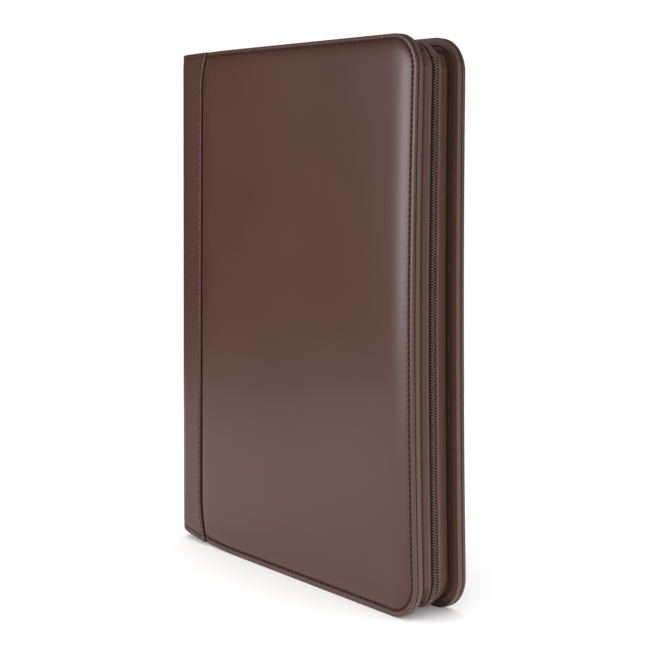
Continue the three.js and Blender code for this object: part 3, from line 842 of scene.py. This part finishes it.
def swept(name, side, section, material, rub_and_sheen):
    """Sweeps a section of (inset, depth) round the way of the zip and closes both its ends."""
    pleat = pleat_depth()
    lines, painted_dark = [], []
    for inset, depth in section:
        beyond_lip = eased(LIP_SOFTNESS * (abs(depth) - LIP_DEPTH) / (FOLD_DEPTH - LIP_DEPTH))
        near_fold = 1 - eased((inset - PLEAT_ROOT) / (RECESS_DEPTH - PLEAT_ROOT))
        pushed = pleat * beyond_lip * near_fold
        x, z = zip_way(inset + pushed, depth, CLEARANCE)
        lines.append(np.stack([x, side * depth + 0 * x, z], axis=-1))
        # painted shade in the pleats and where the leather dives behind the covers, painted shadow along
        # the foot
        behind_cover = np.clip((abs(depth) - DARK_FROM[side]) / DARK_WITHIN, 0, 1)
        in_pleat = np.sqrt(pushed / DEEPEST_PLEAT)
        dark = in_pleat + DARK_BEHIND * behind_cover + foot_shade(z, FOOT_SHADE_GUSSET)
        painted_dark.append(np.clip(dark, 0, 1))
    rings = np.stack(lines, axis=1)
    wear_and_sheen = np.tile(rub_and_sheen, (len(rings), 1))
    faces = ring_faces(*rings.shape[:2]) + end_faces(*rings.shape[:2])
    return make_mesh(name, in_place(rings), faces, np.stack(painted_dark, axis=1), wear_and_sheen, material)


fine_line = curve_through(gusset_line, steps=5)
gusset_section = wall_section(fine_line, GUSSET_PLY, nose_steps=6)
# the lip is rubbed, with painted sheen
lip_rub_and_sheen = np.exp(-(np.linalg.norm(gusset_section - fine_line[-1], axis=1) / LIP_RUB_AND_SHEEN) ** 2)
for side, face in ((-1, "front"), (1, "back")):
    gusset = swept(f"{face}_gusset_wall", side, gusset_section, gusset_leather, lip_rub_and_sheen)
    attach(gusset, "root")
    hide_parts(f"gusset_{face}")

# %% [markdown]
# ## The zip's tapes
# Under the lips lie the two woven tapes that carry the coil, with a narrow parting between them.
# They are swept along the same way as the gussets, a little deeper.

# %% The tapes
HALF_PARTING, TAPE_TURN = 0.45, 0.99
under_leather = visible_leather(TAPE_TURN) + [TAPE_STEP, -CLEARANCE]
tape_line = np.vstack([under_leather, [LIP_INSET + TAPE_STEP, HALF_PARTING]])
tape_section = wall_section(curve_through(tape_line, steps=3), TAPE_PLY, nose_steps=3)
for side, face in ((-1, "front"), (1, "back")):
    tape = swept(f"{face}_zip_tape_woven", side, tape_section, zip_cloth, np.zeros(len(tape_section)))
    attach(tape, "root")
    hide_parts(f"zip_tape_{face}")

# %% [markdown]
# ## Things that repeat along a seam
# Stitches and coil teeth are the same small shape again and again along a line. Geometry Nodes do
# this well: a line of places goes in, it is resampled to the number of things, and one shape is
# set on each place, turned along the line and away from the leather. The tree realises its
# instances and sets the material, and the result is turned to a plain mesh.

# %% Trees that set a shape along a line
def new_tree(name, sizes):
    """An empty geometry tree with one geometry in and out and a named input for each size."""
    tree = bpy.data.node_groups.new(name, "GeometryNodeTree")
    tree.interface.new_socket("Line", in_out="INPUT", socket_type="NodeSocketGeometry")
    for title, (kind, value) in sizes.items():
        made = tree.interface.new_socket(title, in_out="INPUT", socket_type=kind)
        made.default_value = value
    tree.interface.new_socket("Shapes", in_out="OUTPUT", socket_type="NodeSocketGeometry")
    return tree


def set_along(net, group, shape, slant, material):
    """Sets the shape on each resampled place of the line, X along it and Z away from the piece."""
    node = net.node
    line = node("GeometryNodeMeshToCurve", {}, {"Mesh": group["Line"]})
    even = node("GeometryNodeResampleCurve", {"mode": "COUNT"}, {"Curve": line, "Count": group["Count"]})
    tangent = node("GeometryNodeInputTangent")
    away = node("GeometryNodeInputNamedAttribute", {"data_type": "FLOAT_VECTOR"}, {"Name": "away"})
    aligned = node("FunctionNodeAlignRotationToVector", {"axis": "X"}, {"Vector": tangent})
    turned = node(
        "FunctionNodeAlignRotationToVector",
        {"axis": "Z", "pivot_axis": "X"},
        {"Rotation": aligned, "Vector": away},
    )
    lean = node("FunctionNodeAxisAngleToRotation", {}, {"Axis": (0, 0, 1), "Angle": slant})
    rotation = node(
        "FunctionNodeRotateRotation",
        {"rotation_space": "LOCAL"},
        {"Rotation": turned, "Rotate By": lean},
    )
    on_points = {"Points": even, "Instance": shape, "Rotation": rotation}
    placed = node("GeometryNodeInstanceOnPoints", {}, on_points)
    real = node("GeometryNodeRealizeInstances", {}, {"Geometry": placed})
    smooth = node("GeometryNodeSetShadeSmooth", {}, {"Geometry": real})
    done = node("GeometryNodeSetMaterial", {}, {"Geometry": smooth, "Material": material})
    node("NodeGroupOutput", {}, {"Shapes": done})


def group_sockets(net):
    made = net.tree.nodes.new("NodeGroupInput")
    return {socket.name: Socket(net, socket) for socket in made.outputs if socket.name}


def result_of(maker):
    """The plain mesh that an object's curve or modifiers give. The object itself is removed."""
    graph = bpy.context.evaluated_depsgraph_get()
    mesh = bpy.data.meshes.new_from_object(maker.evaluated_get(graph), depsgraph=graph)
    bpy.data.objects.remove(maker)
    return mesh


def run_along(name, tree, places, away, sizes, material):
    """Runs a tree on a line of places and returns the result as one plain mesh object."""
    mesh = bpy.data.meshes.new(name + "_line")
    mesh.from_pydata(places.tolist(), [(i, i + 1) for i in range(len(places) - 1)], [])
    mesh.attributes.new("away", "FLOAT_VECTOR", "POINT").data.foreach_set("vector", away.ravel())
    mesh.materials.append(material)
    source = put_in_scene(name + "_line", mesh)
    modifier = source.modifiers.new("along", "NODES")
    modifier.node_group = tree
    for item in tree.interface.items_tree:
        if item.in_out == "INPUT" and item.name in sizes:
            modifier[item.identifier] = sizes[item.name]
    result = result_of(source)
    result.name = name
    print(f"{name}: {triangle_count(result)} triangles")
    return put_in_scene(name, result)


print("tree helpers ready")

# %% [markdown]
# ## The stitches
# Each stitch is a short bit of thread that comes up from one needle hole and goes down into the
# next, at a slight slant. A bent line with a small round section is enough for it.

# %% The stitch tree
STITCH_LENGTH, THREAD_WIDTH, FINE_THREAD, STITCH_SLANT = 2.6, 1.4, 0.9, math.radians(16)
STITCH_SINK, STITCH_RISE, STITCH_STEPS, THREAD_SIDES = -0.7, 0.9, 4, 6
stitch_tree = new_tree("stitch_along", {
    "Count": ("NodeSocketInt", 10),
    "Length": ("NodeSocketFloat", STITCH_LENGTH * MM),
    "Thickness": ("NodeSocketFloat", THREAD_WIDTH * MM),
    "Slant": ("NodeSocketFloat", STITCH_SLANT),
})
net = Net(stitch_tree)
group = group_sockets(net)


def at(x, z):
    return net.node("ShaderNodeCombineXYZ", {}, {"X": x, "Y": 0.0, "Z": z})


arch = net.node("GeometryNodeCurveQuadraticBezier", {}, {
    "Resolution": STITCH_STEPS,
    "Start": at(group["Length"] * -0.5, group["Thickness"] * STITCH_SINK),
    "Middle": at(0.0, group["Thickness"] * STITCH_RISE),
    "End": at(group["Length"] * 0.5, group["Thickness"] * STITCH_SINK),
})
round_size = {"Resolution": THREAD_SIDES, "Radius": group["Thickness"] * 0.5}
section = net.node("GeometryNodeCurvePrimitiveCircle", {}, round_size)
swept_thread = {"Curve": arch, "Profile Curve": section, "Fill Caps": True}
stitch = net.node("GeometryNodeCurveToMesh", {}, swept_thread)
set_along(net, group, stitch, group["Slant"], thread)
print("nodes in the stitch tree:", len(stitch_tree.nodes))

# %% [markdown]
# The stitches run in three kinds of rows: round each cover in its groove, along each long edge of
# the spine strip, and across the strip at its head and foot, in line with the covers' seams. The
# strip's own rows are of a finer thread.

# %% Rows of stitches
PLACES_A_STITCH = 4


def part_of_line(places, away, start, end, count):
    """So many even places of a line and their outward directions, without this much of its ends."""
    along = lengths_along(places)
    want = np.linspace(start, along[-1] - end, count)
    parts = []
    for values in (places, away):
        parts.append(np.stack([np.interp(want, along, column) for column in values.T], axis=-1))
    return parts


def stitch_row(name, places, away, thickness=THREAD_WIDTH):
    """A row from the middle of its first stitch to that of its last. Returns their number."""
    length = lengths_along(places)[-1]
    count = stitch_count(length)
    half_pitch = length / count / 2
    line, out = part_of_line(places, away, half_pitch, half_pitch, PLACES_A_STITCH * count)
    row = run_along(name, stitch_tree, line, out, {"Count": count, "Thickness": thickness * MM}, thread)
    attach(row, "root")
    return count


def facing(places, direction):
    return np.tile(np.array(direction, dtype=float), (len(places), 1))


stitches = 0
for side, face in ((-1, "front"), (1, "back")):
    seam = seam_places(side)[STITCHED]
    stitches += stitch_row(f"{face}_cover_stitches", seam, facing(seam, (0, side, 0)))

CLEAR_OF_END = 2.0
strip_seam = LAP_SPREAD.index(SEAM_FROM_EDGE)
outer_count = 2 * (len(LAP_SPREAD) + BEND_STEPS) - 1
long_rows = np.abs(strip_rows - HEIGHT / 2) < HEIGHT / 2 - MARGIN - CLEAR_OF_END
for side, face, column in ((-1, "front", strip_seam), (1, "back", outer_count - 1 - strip_seam)):
    seam = strip_places[long_rows, column] + np.array([0, side * THREAD_LIFT / 2 * MM, 0])
    stitches += stitch_row(f"{face}_strip_stitches", seam, facing(seam, (0, side, 0)), FINE_THREAD)

foot_row = int(np.argmin(np.abs(ends - MARGIN)))
for row, end in ((foot_row, "foot"), (len(strip_rows) - 1 - foot_row, "head")):
    seam = strip_places[row, FREE_STATIONS:outer_count - FREE_STATIONS]
    along = np.gradient(seam, axis=0)
    away = np.cross(along, (0, 0, -1.0))
    away /= np.linalg.norm(away, axis=1)[:, None]
    stitches += stitch_row(f"spine_{end}_stitches", seam, away, FINE_THREAD)
print("stitches in all:", stitches)

# %% [markdown]
# ## The coil of the zip
# A nylon coil zip has one spiral of wire on each tape. Closed, the loops of one side hook over
# those of the other in the middle, half a pitch apart, and each side's loops lean their own way.
# So the closed coil shows two columns of ridges with dark gaps between them. Each loop is an oval
# ring across the line. The coil is the main piece that follows a rule, so Geometry Nodes make it
# whole.

# %% The coil tree
COIL_INSET, COIL_STOP, COIL_SHIFT = 5.0, 14.0, 0.15
LOOP_PITCH, LOOP_REACH, LOOP_RISE, LOOP_OFFSET, WIRE = 1.7, 1.6, 1.2, 0.82, 0.68
LOOP_LEAN, LOOP_SIDES, WIRE_SIDES = math.radians(10), 10, 5
coil_tree = new_tree("coil_along", {
    "Count": ("NodeSocketInt", 10),
    "Reach": ("NodeSocketFloat", LOOP_REACH * MM),
    "Rise": ("NodeSocketFloat", LOOP_RISE * MM),
    "Wire": ("NodeSocketFloat", WIRE * MM),
    "Offset": ("NodeSocketFloat", 0.0),
    "Lean": ("NodeSocketFloat", 0.0),
})
net = Net(coil_tree)
group = group_sockets(net)
unit_circle = {"Resolution": LOOP_SIDES, "Radius": 0.5}
wire_round = {"Resolution": WIRE_SIDES, "Radius": group["Wire"] * 0.5}
oval = net.node("GeometryNodeCurvePrimitiveCircle", {}, unit_circle)
wire = net.node("GeometryNodeCurvePrimitiveCircle", {}, wire_round)
size = net.node("ShaderNodeCombineXYZ", {}, {"X": group["Rise"], "Y": group["Reach"], "Z": 1.0})
shift = net.node("ShaderNodeCombineXYZ", {}, {"X": 0.0, "Y": group["Offset"], "Z": 0.0})
flat = net.node("GeometryNodeTransform", {}, {"Geometry": oval, "Scale": size})
upright = net.node("GeometryNodeTransform", {}, {
    "Geometry": flat, "Rotation": (0, math.pi / 2, 0), "Translation": shift,
})
loop = net.node("GeometryNodeCurveToMesh", {}, {"Curve": upright, "Profile Curve": wire})
set_along(net, group, loop, group["Lean"], zip_nylon)
print("nodes in the coil tree:", len(coil_tree.nodes))

# %% Both rows of loops
coil_x, coil_z = zip_way(COIL_INSET + 0 * quarter, 0.0, COIL_STOP)
coil_line = in_place(np.stack([coil_x, 0 * coil_x, coil_z], axis=-1))
coil_out = np.cross(np.gradient(coil_line, axis=0), (0, 1.0, 0))
coil_out /= np.linalg.norm(coil_out, axis=1)[:, None]
coil_length = lengths_along(coil_line)[-1]
loops = round(coil_length / LOOP_PITCH)
for side, face, lag in ((-1, "front", 0.0), (1, "back", LOOP_PITCH / 2)):
    line, out = part_of_line(coil_line, coil_out, lag, LOOP_PITCH / 2 - lag, len(coil_line))
    row = run_along(f"{face}_coil_loops", coil_tree, line, out, {
        "Count": loops, "Offset": (side * LOOP_OFFSET + COIL_SHIFT) * MM, "Lean": -side * LOOP_LEAN,
    }, zip_nylon)
    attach(row, "root")
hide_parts("zip_coil")
print(f"coil of {coil_length:.0f} mm with {loops} loops a side")

# %% [markdown]
# ## The slider and its pull
# The slider waits at the spine end of the closed zip. It is a small cast plate with flanges beside
# the coil and a bridge on top, and the pull is a flat tab whose end bar lies under the bridge. The
# pieces are flat outlines with some thickness and a broken edge, which is just what a filled curve
# with a bevel gives.

# %% Plates cut from an outline
DOUBLES_APART = 1 / 50


def cut_plate(outlines, low, high, soft_edge):
    """A plate between two heights, in metres, from a closed outline and the holes in it."""
    data = bpy.data.curves.new("plate", "CURVE")
    data.dimensions = "2D"
    data.fill_mode = "BOTH"
    data.bevel_depth, data.bevel_resolution = soft_edge, 2
    data.extrude = (high - low) / 2 - soft_edge
    data.offset = -soft_edge
    for outline in outlines:
        line = data.splines.new("POLY")
        line.points.add(len(outline) - 1)
        line.use_cyclic_u = True
        for point, (x, y) in zip(line.points, outline):
            point.co = (x, y, 0, 1)
    mesh = result_of(put_in_scene("plate", data))
    work = bmesh.new()
    work.from_mesh(mesh)
    bmesh.ops.remove_doubles(work, verts=work.verts, dist=soft_edge * DOUBLES_APART)
    bmesh.ops.translate(work, verts=work.verts, vec=(0, 0, (low + high) / 2))
    bmesh.ops.recalc_face_normals(work, faces=work.faces)
    work.to_mesh(mesh)
    work.free()
    return mesh


def rounded(corners, radius, steps=5):
    """An outline through the corners, each cut by a round of this radius."""
    outline = []
    for before, corner, after in zip(corners[-1:] + corners[:-1], corners, corners[1:] + corners[:1]):
        here = np.array(corner)
        arms = [np.array(other) - here for other in (before, after)]
        start, end = (here + arm / np.linalg.norm(arm) * radius for arm in arms)
        for t in np.linspace(0, 1, steps + 1):
            outline.append(tuple(blend(blend(start, here, t), blend(here, end, t), t)))
    return outline


print("a rounded square has", len(rounded([(0, 0), (1, 0), (1, 1), (0, 1)], 0.2)), "corners")

# %% Slider and pull
SLIDER_LENGTH, PLATE_THICKNESS, PULL_LIFT, PULL_THICKNESS, PULL_PLAY = 9.0, 1.2, 0.5, 0.9, 0.1
FLANGE_DROP, FLANGE_THICKNESS, FLANGE_SETBACK, NOSE_TAPER = 1.5, 0.6, 1.2, 0.8
BRIDGE_START, BRIDGE_LENGTH, BRIDGE_WIDTH, BRIDGE_POST, BRIDGE_TOP = 1.3, 6.0, 1.5, 1.0, 0.6
PULL_START, EYE_BAR, EYE_LENGTH, EYE_HALF = 3.4, 1.0, 3.6, 1.2
NECK_HALF, NECK_LENGTH, TAB_END = 2.0, 6.0, 4.0
HOLE_LENGTH, HOLE_HALF, HOLE_FROM_END = 4.0, 1.3, 2.2
SHIELD_ROUND, FLANGE_ROUND, BRIDGE_ROUND, TAB_ROUND, EYE_ROUND, HOLE_ROUND = 1.4, 0.25, 0.3, 0.9, 0.4, 1.2
SOFT_EDGE = 0.14
slider_box = [[value / MM for value in corner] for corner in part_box("zip_slider")]
(slider_x, low_y, seat), (pull_end, high_y, _) = slider_box
slider_y, slider_half = (low_y + high_y) / 2, (high_y - low_y) / 2
plate_top = seat + PLATE_THICKNESS
pull_under = plate_top + PULL_LIFT
bridge_under = pull_under + PULL_THICKNESS + PULL_PLAY


def oblong(start, end, half, radius, middle=slider_y):
    low, high = middle - half, middle + half
    return rounded([(start, low), (end, low), (end, high), (start, high)], radius)


def metal_piece(name, plates):
    """One object of several plates, each with its outlines and two heights in millimetres."""
    work = bmesh.new()
    for outlines, low, high in plates:
        in_metres = [[(x * MM, y * MM) for x, y in outline] for outline in outlines]
        mesh = cut_plate(in_metres, low * MM, high * MM, SOFT_EDGE * MM)
        work.from_mesh(mesh)
        bpy.data.meshes.remove(mesh)
    made = bpy.data.meshes.new(name)
    work.to_mesh(made)
    work.free()
    shade(made)
    made.materials.append(zip_metal)
    piece = put_in_scene(name, made)
    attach(piece, "root")
    print(f"{name}: {triangle_count(made)} triangles")
    return piece


slider_end = slider_x + SLIDER_LENGTH
shield = rounded([
    (slider_x, slider_y - slider_half + NOSE_TAPER), (slider_end, slider_y - slider_half),
    (slider_end, slider_y + slider_half), (slider_x, slider_y + slider_half - NOSE_TAPER),
], SHIELD_ROUND)
flange_start, flange_end = slider_x + FLANGE_SETBACK, slider_end - FLANGE_SETBACK
flange_middle = slider_half - FLANGE_THICKNESS / 2 - NOSE_TAPER / 2
plates = [([shield], seat, plate_top)]
for side in (-1, 1):
    middle = slider_y + side * flange_middle
    flange = oblong(flange_start, flange_end, FLANGE_THICKNESS / 2, FLANGE_ROUND, middle)
    plates.append(([flange], seat - FLANGE_DROP, seat + SOFT_EDGE))
bridge_x = slider_x + BRIDGE_START
for post in (bridge_x, bridge_x + BRIDGE_LENGTH - BRIDGE_POST):
    foot = oblong(post, post + BRIDGE_POST, BRIDGE_WIDTH / 2, BRIDGE_ROUND)
    plates.append(([foot], plate_top - SOFT_EDGE, bridge_under + SOFT_EDGE))
top_bar = oblong(bridge_x, bridge_x + BRIDGE_LENGTH, BRIDGE_WIDTH / 2, BRIDGE_ROUND)
plates.append(([top_bar], bridge_under, bridge_under + BRIDGE_TOP))
slider = metal_piece("zip_slider_body", plates)
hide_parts("zip_slider")

pull_x = slider_x + PULL_START
lower_side = [
    (pull_x, -NECK_HALF), (pull_x + NECK_LENGTH, -NECK_HALF), (pull_end - TAB_END, -slider_half),
    (pull_end, -slider_half),
]
corners = lower_side + [(x, -from_middle) for x, from_middle in reversed(lower_side)]
tab = rounded([(x, slider_y + from_middle) for x, from_middle in corners], TAB_ROUND)
eye = oblong(pull_x + EYE_BAR, pull_x + EYE_BAR + EYE_LENGTH, EYE_HALF, EYE_ROUND)
hole_end = pull_end - HOLE_FROM_END
hole = oblong(hole_end - HOLE_LENGTH, hole_end, HOLE_HALF, HOLE_ROUND)
metal_piece("zip_pull_tab", [([tab, eye, hole], pull_under, pull_under + PULL_THICKNESS)])

# %% [markdown]
# ## Floor, light and camera
# The photograph is a product shot: a white sweep, large soft lights and a long lens. The light over
# the front gives the bright band along the shoulder of the pad, and the white floor brightens the
# lower part of the cover. The world is white to the camera and dim to the rest, because a studio
# beyond its sweep is dark.

# %% Floor and world
FLOOR_REACH, FLOOR_FADE, FLOOR_SIDES, PAPER_WHITE = 0.95, 0.35, 96, 0.86
SEEN_BY_CAMERA, SEEN_BY_REST = 0.96, 0.06
rim_angles = np.arange(FLOOR_SIDES) / FLOOR_SIDES * 2 * np.pi
rim = [(FLOOR_REACH * math.cos(a), FLOOR_REACH * math.sin(a), 0) for a in rim_angles]
floor_mesh = bpy.data.meshes.new("floor")
floor_mesh.from_pydata(rim, [], [list(range(FLOOR_SIDES))])
floor = put_in_scene("floor", floor_mesh)
paper, net, shader, place = new_material("paper")
net.feed(shader, {
    "Base Color": (PAPER_WHITE, PAPER_WHITE, PAPER_WHITE, 1),
    "Roughness": 0.8,
    "Emission Color": (1, 1, 1, 1),
    "Emission Strength": 0.12,
})
from_middle = net.node("ShaderNodeVectorMath", {"operation": "LENGTH"}, {0: place}, output=1)
fading = net.node("ShaderNodeMapRange", {"interpolation_type": "SMOOTHSTEP"}, {
    "Value": from_middle, "From Min": FLOOR_REACH - FLOOR_FADE, "From Max": FLOOR_REACH,
})
clear = net.node("ShaderNodeBsdfTransparent")
lit_paper = Socket(net, shader.outputs["BSDF"])
faded = net.node("ShaderNodeMixShader", {}, {0: fading, 1: lit_paper, 2: clear})
net.feed(paper.node_tree.nodes["Material Output"], {"Surface": faded})
floor_mesh.materials.append(paper)

world = bpy.data.worlds.new("studio")
bpy.context.scene.world = world
world.use_nodes = True
net = Net(world.node_tree)
to_camera = net.node("ShaderNodeLightPath", output=0)
net.feed(world.node_tree.nodes["Background"], {
    "Color": (1, 1, 1, 1),
    "Strength": to_camera * SEEN_BY_CAMERA + SEEN_BY_REST,
})
print("floor and world ready")

# %% Lights
def softbox(name, place, target, width, height, power):
    """A soft light at a place, turned to a target. Its sides are in metres, its power in watts."""
    data = bpy.data.lights.new(name, "AREA")
    data.shape = "RECTANGLE"
    data.size, data.size_y, data.energy = width, height, power
    light = put_in_scene(name, data)
    light.rotation_euler = (Vector(target) - Vector(place)).to_track_quat("-Z", "Y").to_euler()
    light.location = place
    return light


softbox("front_left", (-0.51, -1.49, 0.42), (0.11, 0, 0.29), 1.1, 0.9, 31)
softbox("front_right", (1.25, -1.05, 0.6), (0.1, 0, 0.17), 0.8, 1.0, 9)
softbox("fore_edge", (1.5, 0.3, 0.5), (0.1, 0, 0.17), 1.0, 1.0, 7)
softbox("overhead", (0.0, 0.2, 1.9), (0, 0, 0), 1.6, 1.6, 4)
wash = softbox("floor_wash", (-0.1, 0.5, 1.3), (-0.1, 0.5, 0), 3.2, 3.2, 48)
floor_only = bpy.data.collections.new("floor_only")
floor_only.objects.link(floor)
wash.light_linking.receiver_collection = floor_only
print("five soft lights, one of them for the floor alone")

# %% [markdown]
# The camera was fitted to the outline of the portfolio in the photograph: a long lens, a metre
# away, a little above the middle of the front. The horizon lies above the middle of the picture,
# so the lens is shifted down, as a product photographer does to keep the edges upright.

# %% Camera
LENS_PIXELS, PICTURE, HORIZON_ROW = 1528.3, 650, 143.96
CAMERA_PLACE = (811.4, -587.4, 270.0)
YAW, PITCH, ROLL = (math.radians(a) for a in (53.445, -0.485, 0.12))
forward = np.array([-math.sin(YAW) * math.cos(PITCH), math.cos(YAW) * math.cos(PITCH), -math.sin(PITCH)])
level_right = np.cross(forward, (0, 0, 1))
level_right /= np.linalg.norm(level_right)
level_up = np.cross(level_right, forward)
right = level_right * math.cos(ROLL) + level_up * math.sin(ROLL)
up = level_up * math.cos(ROLL) - level_right * math.sin(ROLL)
camera_data = bpy.data.cameras.new("camera")
camera_data.sensor_width = 36.0
camera_data.lens = LENS_PIXELS / PICTURE * camera_data.sensor_width
camera_data.shift_y = -(PICTURE / 2 - HORIZON_ROW) / PICTURE
camera = put_in_scene("camera", camera_data)
turn = Matrix([right, up, -forward]).transposed().to_4x4()
turn.translation = [v * MM for v in (CAMERA_PLACE[0], CAMERA_PLACE[1] + MIDDLE, CAMERA_PLACE[2])]
camera.matrix_world = turn
bpy.context.scene.camera = camera
bpy.context.scene.view_settings.view_transform = "Standard"
print(f"lens {camera_data.lens:.1f} mm, shift {camera_data.shift_y:.3f}")
